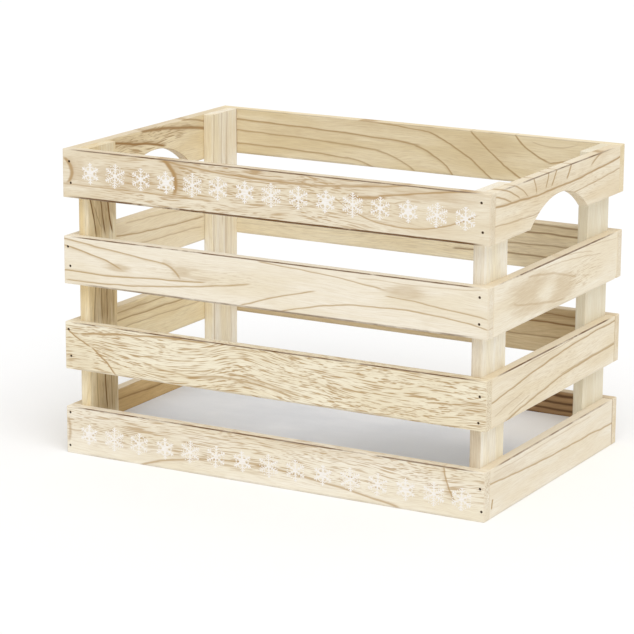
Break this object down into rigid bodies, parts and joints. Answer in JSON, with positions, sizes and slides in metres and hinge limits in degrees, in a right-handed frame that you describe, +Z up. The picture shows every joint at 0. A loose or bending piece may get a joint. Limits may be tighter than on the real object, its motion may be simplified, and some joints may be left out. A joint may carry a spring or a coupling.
{
  "type": "wooden apple crate",
  "caption": "Open-topped slatted wooden crate with flat corner posts, arched hand holes in its ends, an inset bottom panel and rows of white snowflake prints on its front.",
  "frame": {"origin": "middle of the crate's footprint, on the surface it stands on", "axes": "+X along the crate's long side, -Y out of the printed front, +Z up; the open top faces +Z"},
  "size_m": [0.3, 0.2, 0.2],
  "materials": {
    "pale_wood": "bare sanded pale softwood with tan grain",
    "panel_face": "thin board with a smooth pale grey-white face",
    "brad_steel": "dark dull wire",
    "print_paint": "thin matt white printed paint"
  },
  "bodies": {
    "root": {"front_slat_1": "pale_wood", "front_slat_2": "pale_wood", "front_slat_3": "pale_wood", "front_slat_4": "pale_wood", "back_slat_1": "pale_wood", "back_slat_2": "pale_wood", "back_slat_3": "pale_wood", "back_slat_4": "pale_wood", "left_end_slat_1": "pale_wood", "left_end_slat_2": "pale_wood", "left_end_slat_3": "pale_wood", "left_end_slat_4": "pale_wood", "right_end_slat_1": "pale_wood", "right_end_slat_2": "pale_wood", "right_end_slat_3": "pale_wood", "right_end_slat_4": "pale_wood", "front_left_post": "pale_wood", "front_right_post": "pale_wood", "back_left_post": "pale_wood", "back_right_post": "pale_wood", "front_cleat": "pale_wood", "back_cleat": "pale_wood", "left_cleat": "pale_wood", "right_cleat": "pale_wood", "bottom_panel": "panel_face", "front_left_brads": "brad_steel", "front_right_brads": "brad_steel", "back_left_brads": "brad_steel", "back_right_brads": "brad_steel", "cleat_brads": "brad_steel"}
  },
  "joints": []
}
